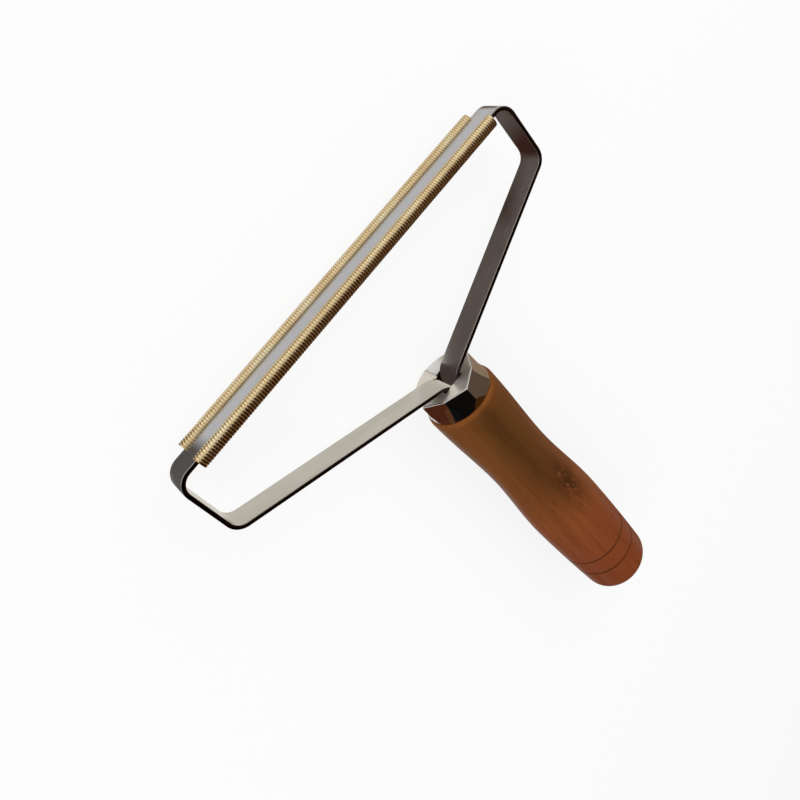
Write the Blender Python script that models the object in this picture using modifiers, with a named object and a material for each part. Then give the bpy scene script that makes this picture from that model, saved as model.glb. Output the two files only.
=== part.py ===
"""A lint scraper: a flat steel strip bent into a wide loop, two slit and ringed brass tubes pushed on
the edges of its head, a faceted metal ferrule, and a turned wooden handle that holds the strip's ends.

The scraper lies flat, as on a table: X runs along the head, the handle points to -Y and +Z is up.
A station is the distance from the outer face of the head towards the butt of the handle.
Every piece is modelled about the handle's axis, with the head's outer face at y = 0, and one
empty then sets the scraper on the ground with its box centred on the origin.
"""

import math

import bmesh
import bpy
from mathutils import Vector

MM = 0.001

# Clearance between pieces that touch on the real scraper
FIT = 0.3 * MM

# Steel strip, measured over its outer faces
STRIP_WIDTH = 10.0 * MM
STRIP_THICKNESS = 1.5 * MM
HEAD_LENGTH = 155.0 * MM
KNEE_SPAN = 157.0 * MM
KNEE_STATION = 25.9 * MM
LEG_FALL = 30.0 * MM
HEAD_BEND_RADIUS = 6.0 * MM
KNEE_BEND_RADIUS = 6.0 * MM
TANG_BEND_RADIUS = 3.0 * MM
TANG_LENGTH = 35.0 * MM
TANG_SPACE = 0.3 * MM
STRIP_EDGE_ROUND = 0.25 * MM
BEND_STEP = math.radians(10)

# Brass tubes on the two edges of the head
TUBE_REACH = 1.1 * MM
TUBE_WALL = 0.42 * MM
TUBE_END_SPACE = 3.5 * MM
RIB_DEPTH = 0.25 * MM
RIBS_PER_TUBE = 100
TUBE_BEVEL_RESOLUTION = 2
BORE_SIDES = 20

# Ferrule: a front with four corners and a crease in the middle of each side, flared to a round skirt
FERRULE_SIDES = 8
FERRULE_POINTS_PER_SIDE = 5
FERRULE_RINGS = 6
FERRULE_CORNER_RADIUS = 12.7 * MM
FERRULE_CREASE_RADIUS = 10.9 * MM
FERRULE_REAR_RADIUS = 13.0 * MM
FERRULE_LEAD = 0.45 * MM
FERRULE_LENGTH = 8.55 * MM
FERRULE_SKIRT = 0.5 * MM
FERRULE_WALL = 0.8 * MM
FERRULE_RIM = 0.5 * MM

# Turned handle, from its shoulder back to its butt
SHOULDER_RISE = 0.9 * MM
SHOULDER_ROUND = 2.2 * MM
SHOULDER_BAND = 4.0 * MM
NECK_LENGTH = 33.0 * MM
BELLY_LENGTH = 44.0 * MM
TAIL_LENGTH = 50.0 * MM
WAIST_RADIUS = 13.1 * MM
SWELL_RADIUS = 15.6 * MM
TAIL_RADIUS = 14.5 * MM
BUTT_ROUND = 5.0 * MM
GROOVES_FROM_BUTT = (28.5 * MM, 17.6 * MM)
GROOVE_WIDTH = 1.2 * MM
GROOVE_DEPTH = 0.5 * MM
TURNING_STEPS = 44
CURVE_STEPS = 6

# Places that follow from those sizes
LEG_ANGLE = math.atan2(LEG_FALL, KNEE_SPAN / 2)
TANG_OUTER_X = TANG_SPACE / 2 + STRIP_THICKNESS
SLOT_CORNER_STATION = KNEE_STATION + LEG_FALL - TANG_OUTER_X * math.tan(LEG_ANGLE)
TANG_BEND_REACH = TANG_BEND_RADIUS * math.tan((math.pi / 2 - LEG_ANGLE) / 2)
TANG_BEND_START_STATION = SLOT_CORNER_STATION - TANG_BEND_REACH * math.sin(LEG_ANGLE)
TANG_BEND_END_STATION = SLOT_CORNER_STATION + TANG_BEND_REACH
TANG_END_STATION = SLOT_CORNER_STATION + TANG_LENGTH
FERRULE_FRONT_STATION = SLOT_CORNER_STATION - FERRULE_LEAD
FERRULE_REAR_STATION = FERRULE_FRONT_STATION + FERRULE_LENGTH
FERRULE_FLARE = FERRULE_LENGTH - FERRULE_SKIRT
TENON_STATION = max(FERRULE_FRONT_STATION + FERRULE_WALL, TANG_BEND_END_STATION) + FIT
SHOULDER_STATION = FERRULE_REAR_STATION + FIT
SHOULDER_RADIUS = FERRULE_REAR_RADIUS + SHOULDER_RISE
NECK_STATION = SHOULDER_STATION + SHOULDER_ROUND + SHOULDER_BAND
WAIST_STATION = NECK_STATION + NECK_LENGTH
SWELL_STATION = WAIST_STATION + BELLY_LENGTH
BUTT_STATION = SWELL_STATION + TAIL_LENGTH
BORE_RADIUS = math.hypot(STRIP_THICKNESS / 2, TUBE_REACH) + FIT
ROOT_RADIUS = BORE_RADIUS + TUBE_WALL
CREST_RADIUS = ROOT_RADIUS + RIB_DEPTH
TUBE_LENGTH = HEAD_LENGTH - 2 * (HEAD_BEND_RADIUS + TUBE_END_SPACE)
TUBE_HEIGHT = STRIP_WIDTH / 2 + TUBE_REACH
TUBE_STATION = STRIP_THICKNESS / 2

# Materials: colour, roughness and metallic value of each
STEEL = ((0.62, 0.60, 0.58), 0.22, 1.0)
BRASS = ((0.80, 0.58, 0.24), 0.30, 1.0)
PLATED = ((0.72, 0.70, 0.67), 0.12, 1.0)
WOOD = ((0.42, 0.22, 0.08), 0.38, 0.0)


def clear_scene():
    for obj in list(bpy.data.objects):
        bpy.data.objects.remove(obj, do_unlink=True)


def new_collection(name):
    collection = bpy.data.collections.new(name)
    bpy.context.scene.collection.children.link(collection)
    return collection


def add_object(name, data, collection):
    obj = bpy.data.objects.new(name, data)
    collection.objects.link(obj)
    return obj


def give_material(obj, name, look):
    colour, roughness, metallic = look
    material = bpy.data.materials.new(name)
    material.use_nodes = True
    shader = material.node_tree.nodes["Principled BSDF"]
    shader.inputs["Base Color"].default_value = (*colour, 1.0)
    shader.inputs["Roughness"].default_value = roughness
    shader.inputs["Metallic"].default_value = metallic
    obj.data.materials.clear()
    obj.data.materials.append(material)


def mesh_from(bm, name):
    mesh = bpy.data.meshes.new(name)
    bm.to_mesh(mesh)
    bm.free()
    return mesh


def settle(obj, sharp_angle=math.radians(28)):
    """Turn the object into the mesh that its curve or modifiers make, smooth between sharp edges."""
    bpy.context.view_layer.update()
    graph = bpy.context.evaluated_depsgraph_get()
    mesh = bpy.data.meshes.new_from_object(obj.evaluated_get(graph))
    bm = bmesh.new()
    bm.from_mesh(mesh)
    bmesh.ops.remove_doubles(bm, verts=bm.verts, dist=1e-7)
    bm.to_mesh(mesh)
    bm.free()
    mesh.shade_smooth()
    mesh.set_sharp_from_angle(angle=sharp_angle)
    solid = add_object(obj.name + "_solid", mesh, obj.users_collection[0])
    solid.matrix_world = obj.matrix_world.copy()
    name = obj.name
    bpy.data.objects.remove(obj, do_unlink=True)
    solid.name = name
    return solid


def add_cutter(name, mesh, cutters):
    cutter = add_object(name, mesh, cutters)
    cutter.hide_render = True
    cutter.display_type = "WIRE"
    return cutter


def box_cutter(name, size, centre, cutters):
    bm = bmesh.new()
    bmesh.ops.create_cube(bm, size=1.0)
    bmesh.ops.scale(bm, vec=size, verts=bm.verts)
    cutter = add_cutter(name, mesh_from(bm, name), cutters)
    cutter.location = centre
    return cutter


def cut(obj, cutter):
    boolean = obj.modifiers.new(cutter.name, "BOOLEAN")
    boolean.operation = "DIFFERENCE"
    boolean.solver = "EXACT"
    boolean.object = cutter


def rounded_line(corners, radii):
    """The corners joined by straight runs, each inner corner turned on an arc of its own radius."""
    points = [Vector(corners[0])]
    for before, corner, after, radius in zip(corners, corners[1:], corners[2:], radii):
        corner = Vector(corner)
        back = (Vector(before) - corner).normalized()
        ahead = (Vector(after) - corner).normalized()
        opening = back.angle(ahead)
        centre = corner + (back + ahead).normalized() * radius / math.sin(opening / 2)
        start = corner + back * radius / math.tan(opening / 2)
        turn = math.pi - opening
        side = math.copysign(1.0, back.cross(ahead))
        steps = max(2, round(turn / BEND_STEP))
        for step in range(steps + 1):
            angle = -side * turn * step / steps
            offset = start - centre
            cos, sin = math.cos(angle), math.sin(angle)
            points.append(centre + Vector((offset.x * cos - offset.y * sin, offset.x * sin + offset.y * cos)))
    points.append(Vector(corners[-1]))
    return points


def make_strip(parts):
    """One strip, bent from the middle of the head round to the two tangs side by side in the slot."""
    half_line = rounded_line(
        [
            (0.0, 0.0),
            (HEAD_LENGTH / 2, 0.0),
            (KNEE_SPAN / 2, -KNEE_STATION),
            (TANG_OUTER_X, -SLOT_CORNER_STATION),
            (TANG_OUTER_X, -TANG_END_STATION),
        ],
        [HEAD_BEND_RADIUS, KNEE_BEND_RADIUS, TANG_BEND_RADIUS],
    )
    bm = bmesh.new()
    line = [bm.verts.new((point.x, point.y, -STRIP_WIDTH / 2)) for point in half_line]
    edges = [bm.edges.new(pair) for pair in zip(line, line[1:])]
    swept = bmesh.ops.extrude_edge_only(bm, edges=edges)
    raised = [item for item in swept["geom"] if isinstance(item, bmesh.types.BMVert)]
    bmesh.ops.translate(bm, verts=raised, vec=(0.0, 0.0, STRIP_WIDTH))
    head_face = min(bm.faces, key=lambda face: abs(face.calc_center_median().y))
    head_face.normal_update()
    if head_face.normal.y < 0:
        bmesh.ops.reverse_faces(bm, faces=bm.faces)
    strip = add_object("steel_strip", mesh_from(bm, "steel_strip"), parts)

    mirror = strip.modifiers.new("mirror", "MIRROR")
    mirror.merge_threshold = 0.01 * MM
    wall = strip.modifiers.new("thickness", "SOLIDIFY")
    wall.thickness = STRIP_THICKNESS
    wall.offset = -1.0
    wall.use_even_offset = True
    edge = strip.modifiers.new("edges", "BEVEL")
    edge.width = STRIP_EDGE_ROUND
    edge.segments = 2
    edge.limit_method = "ANGLE"
    edge.angle_limit = math.radians(50)
    strip = settle(strip)
    give_material(strip, "steel", STEEL)
    return strip


def make_tube(name, side, parts, cutters):
    """A ringed tube along one edge of the head. side is +1 above the strip and -1 below it."""
    count = 2 * RIBS_PER_TUBE + 1
    curve = bpy.data.curves.new(name, "CURVE")
    curve.dimensions = "3D"
    curve.bevel_depth = CREST_RADIUS
    curve.bevel_resolution = TUBE_BEVEL_RESOLUTION
    curve.use_fill_caps = True
    spline = curve.splines.new("POLY")
    spline.points.add(count - 1)
    for index, point in enumerate(spline.points):
        is_crest = index % 2 == 1
        point.co = (TUBE_LENGTH * (index / (count - 1) - 0.5), 0.0, 0.0, 1.0)
        point.radius = 1.0 if is_crest else ROOT_RADIUS / CREST_RADIUS
    tube = add_object(name, curve, parts)
    tube.location = (0.0, -TUBE_STATION, side * TUBE_HEIGHT)
    tube = settle(tube, math.radians(60))

    bm = bmesh.new()
    bmesh.ops.create_cone(
        bm,
        cap_ends=True,
        segments=BORE_SIDES,
        radius1=BORE_RADIUS,
        radius2=BORE_RADIUS,
        depth=TUBE_LENGTH + 2 * CREST_RADIUS,
    )
    bore = add_cutter(name + "_bore", mesh_from(bm, name + "_bore"), cutters)
    bore.location = tube.location
    bore.rotation_euler = (0.0, math.pi / 2, 0.0)
    slit_size = (TUBE_LENGTH + 2 * CREST_RADIUS, STRIP_THICKNESS + 2 * FIT, 2 * CREST_RADIUS)
    slit_centre = Vector(tube.location) - Vector((0.0, 0.0, side * CREST_RADIUS))
    slit = box_cutter(name + "_slit", slit_size, slit_centre, cutters)
    cut(tube, bore)
    cut(tube, slit)
    give_material(tube, name.replace("tube", "finish"), BRASS)
    return tube, bore, slit


def ring_angles():
    count = FERRULE_SIDES * FERRULE_POINTS_PER_SIDE
    return [2 * math.pi * index / count for index in range(count)]


def ferrule_radius(angle, share):
    """Outer radius of the ferrule, eight-sided at share 0 of its flare and round at share 1."""
    side_angle = 2 * math.pi / FERRULE_SIDES
    from_corner = angle % (2 * side_angle)
    from_corner = min(from_corner, 2 * side_angle - from_corner)
    flat = (
        FERRULE_CORNER_RADIUS
        * FERRULE_CREASE_RADIUS
        * math.sin(side_angle)
        / (
            FERRULE_CORNER_RADIUS * math.sin(from_corner)
            + FERRULE_CREASE_RADIUS * math.sin(side_angle - from_corner)
        )
    )
    return flat + (FERRULE_REAR_RADIUS - flat) * share**2


def tenon_radius(station):
    """Radius that clears the ferrule's inner wall all round, also where that wall slopes outwards."""
    share = min(1.0, (station - FERRULE_FRONT_STATION) / FERRULE_FLARE)
    narrowest_front = min(ferrule_radius(angle, 0.0) for angle in ring_angles())
    narrowest = min(ferrule_radius(angle, share) for angle in ring_angles())
    slope = 2 * (FERRULE_REAR_RADIUS - narrowest_front) * share / FERRULE_FLARE
    return narrowest - (FERRULE_WALL + FIT) * math.hypot(1.0, slope)


def strip_reach(station):
    """Distance from the handle's axis to the outer face of the strip where it turns into the slot."""
    if station < TANG_BEND_START_STATION:
        return TANG_OUTER_X + (SLOT_CORNER_STATION - station) / math.tan(LEG_ANGLE)
    before_end = max(0.0, TANG_BEND_END_STATION - station)
    return TANG_OUTER_X + TANG_BEND_RADIUS - math.sqrt(TANG_BEND_RADIUS**2 - before_end**2)


def add_ring(bm, station, radius_at):
    ring = []
    for angle in ring_angles():
        radius = radius_at(angle)
        ring.append(bm.verts.new((radius * math.cos(angle), -station, radius * math.sin(angle))))
    return ring


def make_ferrule(parts, cutters):
    """A cup with a slot in its front: a loft from an eight-sided front to a short round skirt."""
    bm = bmesh.new()
    slot_width = 2 * (strip_reach(FERRULE_FRONT_STATION) + FIT / math.sin(LEG_ANGLE))
    plate_radius = math.hypot(STRIP_WIDTH / 2, slot_width / 2) + 4 * FIT
    front_scale = 1.0 - FERRULE_RIM / FERRULE_CORNER_RADIUS
    rings = [
        add_ring(bm, FERRULE_FRONT_STATION, lambda angle: plate_radius),
        add_ring(bm, FERRULE_FRONT_STATION, lambda angle: ferrule_radius(angle, 0.0) * front_scale),
    ]
    first = FERRULE_RIM / FERRULE_FLARE
    for ring in range(FERRULE_RINGS):
        share = first + (1.0 - first) * ring / (FERRULE_RINGS - 1)
        station = FERRULE_FRONT_STATION + FERRULE_FLARE * share
        rings.append(add_ring(bm, station, lambda angle, share=share: ferrule_radius(angle, share)))
    rings.append(add_ring(bm, FERRULE_REAR_STATION, lambda angle: FERRULE_REAR_RADIUS))
    for inner, outer in zip(rings, rings[1:]):
        for index in range(len(inner)):
            after = (index + 1) % len(inner)
            bm.faces.new((inner[index], outer[index], outer[after], inner[after]))
    bm.faces.new(rings[0])
    bmesh.ops.recalc_face_normals(bm, faces=bm.faces)
    plate = min(bm.faces, key=lambda face: -len(face.verts))
    plate.normal_update()
    if plate.normal.y < 0:
        bmesh.ops.reverse_faces(bm, faces=bm.faces)
    ferrule = add_object("ferrule", mesh_from(bm, "ferrule"), parts)
    wall = ferrule.modifiers.new("wall", "SOLIDIFY")
    wall.thickness = FERRULE_WALL
    wall.offset = -1.0
    wall.use_even_offset = True
    ferrule = settle(ferrule)

    slot_size = (slot_width, 4 * FERRULE_WALL, STRIP_WIDTH + 2 * FIT)
    slot_centre = (0.0, -FERRULE_FRONT_STATION, 0.0)
    slot = box_cutter("ferrule_slot", slot_size, slot_centre, cutters)
    cut(ferrule, slot)
    give_material(ferrule, "plated_metal", PLATED)
    return ferrule, slot


def eased(start, end, share):
    return start + (end - start) * (1.0 - math.cos(math.pi * share)) / 2


def handle_radius(station):
    """Radius of the turned body behind its shoulder, without its grooves and its rounded butt."""
    if station <= NECK_STATION:
        return SHOULDER_RADIUS
    if station <= WAIST_STATION:
        return eased(SHOULDER_RADIUS, WAIST_RADIUS, (station - NECK_STATION) / NECK_LENGTH)
    if station <= SWELL_STATION:
        return eased(WAIST_RADIUS, SWELL_RADIUS, (station - WAIST_STATION) / BELLY_LENGTH)
    return SWELL_RADIUS + (TAIL_RADIUS - SWELL_RADIUS) * ((station - SWELL_STATION) / TAIL_LENGTH) ** 2


def handle_profile():
    """Points (radius, station) from the axis at the butt, forward over the body, to the tenon's axis."""
    points = [(0.0, BUTT_STATION)]
    round_start = BUTT_STATION - BUTT_ROUND
    round_radius = handle_radius(round_start)
    for step in range(CURVE_STEPS + 1):
        angle = math.pi / 2 * (1.0 - step / CURVE_STEPS)
        radius = round_radius - BUTT_ROUND * (1.0 - math.cos(angle))
        points.append((radius, round_start + BUTT_ROUND * math.sin(angle)))
    for from_butt in sorted(GROOVES_FROM_BUTT):
        middle = BUTT_STATION - from_butt
        for offset, depth in ((0.5, 0.0), (0.25, 1.0), (-0.25, 1.0), (-0.5, 0.0)):
            station = middle + offset * GROOVE_WIDTH
            points.append((handle_radius(station) - depth * GROOVE_DEPTH, station))
    for start, end in ((SWELL_STATION, WAIST_STATION), (WAIST_STATION, NECK_STATION)):
        for step in range(CURVE_STEPS):
            station = start + (end - start) * step / CURVE_STEPS
            points.append((handle_radius(station), station))
    points.append((SHOULDER_RADIUS, NECK_STATION))
    for step in range(CURVE_STEPS + 1):
        angle = math.pi / 2 * (1.0 - step / CURVE_STEPS)
        radius = FERRULE_REAR_RADIUS + SHOULDER_RISE * math.sin(angle)
        points.append((radius, SHOULDER_STATION + SHOULDER_ROUND * (1.0 - math.cos(angle))))
    for step in range(CURVE_STEPS + 1):
        station = SHOULDER_STATION + (TENON_STATION - SHOULDER_STATION) * step / CURVE_STEPS
        points.append((tenon_radius(station), station))
    points.append((0.0, TENON_STATION))
    return points


def make_handle(parts, cutters):
    """A turned handle: its tenon fills the ferrule, and a slot in its end takes the two tangs."""
    bm = bmesh.new()
    line = [bm.verts.new((radius, 0.0, station)) for radius, station in handle_profile()]
    for pair in zip(line, line[1:]):
        bm.edges.new(pair)
    handle = add_object("handle", mesh_from(bm, "handle"), parts)
    turning = handle.modifiers.new("turning", "SCREW")
    turning.axis = "Z"
    turning.steps = TURNING_STEPS
    turning.render_steps = TURNING_STEPS
    turning.use_merge_vertices = True
    turning.merge_threshold = 0.001 * MM
    handle.rotation_euler = (math.pi / 2, 0.0, 0.0)
    handle = settle(handle)

    slot_depth = TANG_END_STATION + FIT - TENON_STATION
    slot_size = (2 * (TANG_OUTER_X + FIT), 2 * slot_depth, STRIP_WIDTH + 2 * FIT)
    slot_centre = (0.0, -TENON_STATION, 0.0)
    slot = box_cutter("handle_slot", slot_size, slot_centre, cutters)
    cut(handle, slot)
    give_material(handle, "wood", WOOD)
    return handle, slot


def main():
    clear_scene()
    parts = new_collection("lint_scraper")
    cutters = new_collection("cutters")
    cutters.hide_render = True
    pieces = [make_strip(parts)]
    pieces += make_tube("upper_brass_tube", 1, parts, cutters)
    pieces += make_tube("lower_brass_tube", -1, parts, cutters)
    pieces += make_ferrule(parts, cutters)
    pieces += make_handle(parts, cutters)

    head_reach = CREST_RADIUS - TUBE_STATION
    stand = add_object("stand", None, parts)
    for piece in pieces:
        piece.parent = stand
    stand.location = (0.0, (BUTT_STATION - head_reach) / 2, SWELL_RADIUS)
    bpy.context.view_layer.update()


main()
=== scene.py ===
"""A lint scraper, dressed for its picture: a polished steel strip bent into a wide loop, two ringed
brass tubes on the edges of its head, a plated eight-sided ferrule and a lacquered wooden handle.

Lengths are in metres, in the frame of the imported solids: X runs along the head, the handle points
to -Y and the scraper lies on the ground at z = 0.
"""

import math

import bmesh
import bpy
from mathutils import Matrix, Quaternion, Vector


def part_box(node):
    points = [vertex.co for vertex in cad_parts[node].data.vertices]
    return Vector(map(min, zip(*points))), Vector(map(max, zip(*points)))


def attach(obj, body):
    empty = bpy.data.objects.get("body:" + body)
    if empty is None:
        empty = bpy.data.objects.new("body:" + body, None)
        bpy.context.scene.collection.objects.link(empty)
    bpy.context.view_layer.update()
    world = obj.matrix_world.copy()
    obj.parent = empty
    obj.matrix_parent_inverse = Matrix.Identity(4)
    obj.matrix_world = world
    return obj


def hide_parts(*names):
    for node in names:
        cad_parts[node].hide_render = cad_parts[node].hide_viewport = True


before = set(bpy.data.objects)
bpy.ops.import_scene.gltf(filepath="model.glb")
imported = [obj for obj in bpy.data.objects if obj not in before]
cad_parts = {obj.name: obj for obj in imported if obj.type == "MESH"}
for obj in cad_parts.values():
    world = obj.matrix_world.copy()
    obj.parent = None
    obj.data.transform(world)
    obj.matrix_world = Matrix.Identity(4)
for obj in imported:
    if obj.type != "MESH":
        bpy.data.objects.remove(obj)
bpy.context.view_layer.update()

MM = 0.001
BODY = "root"
FIT = 0.3 * MM
MERGE_DISTANCE = 0.002 * MM
EDGE_SEGMENTS = 3
SMOOTH_ANGLE = math.radians(35)

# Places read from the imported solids
strip_low, strip_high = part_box("steel_strip")
tube_low, tube_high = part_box("upper_brass_tube")
ferrule_low, ferrule_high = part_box("ferrule")
handle_low, handle_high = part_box("handle")
HEAD_FACE = strip_high.y
MIDDLE_HEIGHT = (strip_low.z + strip_high.z) / 2
STRIP_WIDTH = strip_high.z - strip_low.z

# Steel strip, over its outer faces. A station is a distance from the head's outer face towards the butt.
STRIP_THICKNESS = 1.5 * MM
HEAD_LENGTH = 155.0 * MM
KNEE_SPAN = 157.0 * MM
KNEE_STATION = 25.9 * MM
LEG_FALL = 30.0 * MM
BEND_RADIUS = 6.0 * MM
TANG_BEND_RADIUS = 6.0 * MM
TANG_GAP = 0.3 * MM
EDGE_ROUND = 0.36 * MM
EDGE_ROUND_ANGLE = math.radians(50)
EDGE_BAND = 0.05 * MM
BEND_STEP = math.radians(5)
LEAST_BEND_STEPS = 6
TANG_X = TANG_GAP / 2 + STRIP_THICKNESS
LEG_ANGLE = math.atan2(LEG_FALL, KNEE_SPAN / 2)
SLOT_STATION = KNEE_STATION + LEG_FALL - TANG_X * math.tan(LEG_ANGLE)
TANG_END_STATION = HEAD_FACE - strip_low.y

# Brass tubes
TUBE_RADIUS = (tube_high.y - tube_low.y) / 2
TUBE_AXIS_Y = (tube_high.y + tube_low.y) / 2
TUBE_AXIS_Z = tube_high.z - TUBE_RADIUS
TUBE_LENGTH = tube_high.x - tube_low.x
RINGS_PER_TUBE = 146
SPARE_RINGS = 2
RING_PITCH = TUBE_LENGTH / RINGS_PER_TUBE
RING_DEPTH = 0.27 * MM
RING_STEPS = 14
RING_SMOOTH_ANGLE = math.radians(50)
TUBE_WALL = 0.4 * MM
TRIM_THRESHOLD = 0.001 * MM
SLIT_SPACE = 0.1 * MM

# One ring's section: share of its pitch along the tube, and share of its depth outwards
RING_SECTION = ((0.0, 0.0), (0.15, 0.75), (0.5, 1.0), (0.85, 0.75), (1.0, 0.0))

# Ferrule: round at its rear, and at its front four corners with a crease between each two
FERRULE_SIDES = 8
FERRULE_CORNER_RADIUS = 12.7 * MM
FERRULE_CREASE_RADIUS = 10.9 * MM
FERRULE_REAR_RADIUS = ferrule_high.x
FERRULE_SKIRT = 0.5 * MM
FERRULE_WALL = 0.8 * MM
FERRULE_EDGE = 0.2 * MM
FERRULE_EDGE_ANGLE = math.radians(30)
FERRULE_RIM_ROUND = 0.7 * MM
FERRULE_RIM_SEGMENTS = 4
FERRULE_RINGS = 8
FERRULE_PLATE_SHARE = 0.75
FERRULE_PLATE_DEPTH = 0.01 * MM
SLOT_HALF_WIDTH = 4.6 * MM
POINTS_PER_SIDE = 16

# The front's low side is worn round. Its flats pass into the round between these sines of the angle
# below level.
FERRULE_ROUND_FROM = 0.5
FERRULE_ROUND_TO = 0.7

# How far a face turns towards Y: more than this on the front plate, and less than this on a flank
PLATE_TURN = 0.9
FLANK_TURN = 0.7

# Turned handle
HANDLE_STEPS = 96
BODY_STEPS = 120
SHOULDER_FACE_RADIUS = 13.0 * MM
SHOULDER_RISE = 0.9 * MM
SHOULDER_ROUND = 2.2 * MM
SHOULDER_STEPS = 10
SHOULDER_BAND = 4.0 * MM
NECK_LENGTH = 33.0 * MM
BELLY_LENGTH = 44.0 * MM
TAIL_LENGTH = 50.0 * MM
WAIST_RADIUS = 13.1 * MM
SWELL_RADIUS = handle_high.x
TAIL_RADIUS = 14.5 * MM
BUTT_ROUND = 5.0 * MM
BUTT_STEPS = 12
BUTT_RING_SHARE = 0.4
SHOULDER_RADIUS = SHOULDER_FACE_RADIUS + SHOULDER_RISE
BUTT_Y = handle_low.y
SHOULDER_Y = BUTT_Y + TAIL_LENGTH + BELLY_LENGTH + NECK_LENGTH + SHOULDER_BAND + SHOULDER_ROUND
NECK_Y = SHOULDER_Y - SHOULDER_ROUND - SHOULDER_BAND
WAIST_Y = NECK_Y - NECK_LENGTH
SWELL_Y = WAIST_Y - BELLY_LENGTH

# Turned grooves. The body's own points keep clear of them, and each is drawn with steps of its own.
GROOVES_Y = (BUTT_Y + 28.5 * MM, BUTT_Y + 17.6 * MM)
GROOVE_WIDTH = 1.1 * MM
GROOVE_DEPTH = 0.5 * MM
GROOVE_CLEARANCE = 0.75 * GROOVE_WIDTH
GROOVE_STEPS_EACH_WAY = 6
GROOVE_STEPS_PER_WIDTH = 9
GROOVE_SPREAD_IN_STEPS = 2.6
# How far the darkening of each groove spreads
GROOVE_DARK_SPREAD = 0.4 * GROOVE_WIDTH

# Where the wood is worn, reddened, stained, darkened by painted shade along its top, lightened by a
# painted highlight on its bead, and knotted
WORN_FROM_Y = -8.0 * MM
WORN_TO_Y = -48.0 * MM
RED_FROM_Y = 12.0 * MM
RED_TO_Y = -75.0 * MM
# The stain also carries painted shade along the handle's top and a painted highlight on its bead
STAIN_ON_SIDES = 0.35
TOP_SHADE_SPREAD = math.radians(40)
BEAD_HIGHLIGHT_LENGTH = 1.8 * MM
KNOT_X = 3.5 * MM
KNOT_Y = -24.0 * MM
KNOT_HALF_WIDTH = 5.5 * MM
KNOT_HALF_LENGTH = 11.0 * MM
KNOT_TURN = (0.0, 0.0, 0.35)

# Colours of the finishes
STEEL_DULL = (0.49, 0.48, 0.455, 1.0)
STEEL_BRIGHT = (0.57, 0.56, 0.535, 1.0)
# Painted dark reflection on the strip's narrow edges
STEEL_EDGE_SHADE = (0.10, 0.085, 0.075, 1.0)
BRASS_DULL = (0.86, 0.66, 0.35, 1.0)
BRASS_MIDDLE = (0.98, 0.79, 0.46, 1.0)
BRASS_BRIGHT = (1.0, 0.92, 0.62, 1.0)
# Painted shade in the grooves between the brass rings
BRASS_GROOVE_SHADE = (0.40, 0.15, 0.026, 1.0)
PLATING_DULL = (0.68, 0.66, 0.62, 1.0)
PLATING_BRIGHT = (0.76, 0.74, 0.71, 1.0)
WOOD_DARK = (0.212, 0.068, 0.014, 1.0)
WOOD_MIDDLE = (0.258, 0.084, 0.018, 1.0)
WOOD_PALE = (0.30, 0.099, 0.022, 1.0)
WOOD_KNOT = (0.068, 0.022, 0.005, 1.0)
WOOD_NICK = (0.32, 0.18, 0.08, 1.0)
# Dark colour for the turned grooves, and painted shade on the tenon
WOOD_DARK_GROOVES_AND_SHADE = (0.045, 0.014, 0.004, 1.0)
BUTT_TINT = (1.0, 0.72, 1.0, 1.0)
# Tint of the stain, and of the painted shade along the handle's top
STAIN_AND_SHADE_TINT = (0.455, 0.51, 0.53, 1.0)


def held(value):
    """The value, held between 0 and 1."""
    return min(1.0, max(0.0, value))


# Modelling helpers
def clear_selection():
    """Leave edit mode with nothing selected."""
    if bpy.context.mode != "OBJECT":
        bpy.ops.object.mode_set(mode="OBJECT")
    bpy.ops.object.select_all(action="DESELECT")


def choose(piece):
    """Select one piece alone and make it the active one."""
    clear_selection()
    piece.select_set(True)
    bpy.context.view_layer.objects.active = piece


def take(name):
    """Name the primitive just added, put its place into its mesh, and open it for editing."""
    piece = bpy.context.object
    piece.name = name
    piece.data.name = name
    bpy.ops.object.transform_apply(location=True, rotation=True, scale=True)
    bpy.ops.object.mode_set(mode="EDIT")
    bpy.ops.mesh.select_mode(type="VERT")
    return piece


def pick_edges(piece, test):
    """Select the edges of the piece that pass the test, and nothing else."""
    bpy.ops.mesh.select_mode(type="EDGE")
    bpy.ops.mesh.select_all(action="DESELECT")
    bm = bmesh.from_edit_mesh(piece.data)
    for edge in bm.edges:
        edge.select_set(test(edge))
    bm.select_flush_mode()
    bmesh.update_edit_mesh(piece.data)


def push(step):
    """Extrude what is selected by one step."""
    bpy.ops.mesh.extrude_region_move(TRANSFORM_OT_translate={"value": step})


def draw_line(name, points):
    """A line of edges through the points, drawn by extruding one vertex."""
    clear_selection()
    bpy.ops.mesh.primitive_plane_add(size=MM, location=points[0])
    piece = take(name)
    bpy.ops.mesh.merge(type="CENTER")
    for before, after in zip(points, points[1:]):
        push(Vector(after) - Vector(before))
    bpy.ops.mesh.select_all(action="SELECT")
    return piece


def close_seams():
    """Merge the vertices that meet, and turn the faces outwards."""
    bpy.ops.mesh.select_all(action="SELECT")
    bpy.ops.mesh.remove_doubles(threshold=MERGE_DISTANCE)
    bpy.ops.mesh.normals_make_consistent(inside=False)


def apply_modifier(piece, kind, **settings):
    choose(piece)
    modifier = piece.modifiers.new(kind.lower(), kind)
    for key, value in settings.items():
        setattr(modifier, key, value)
    bpy.ops.object.modifier_apply(modifier=modifier.name)


def thicken(piece, wall):
    """Give an outer surface its wall, on its inner side."""
    apply_modifier(piece, "SOLIDIFY", thickness=wall, offset=-1.0, use_even_offset=True)


def round_edges(piece, width, angle):
    """Round every edge that turns by more than the angle."""
    apply_modifier(
        piece, "BEVEL", width=width, segments=EDGE_SEGMENTS, limit_method="ANGLE", angle_limit=angle
    )


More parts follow.
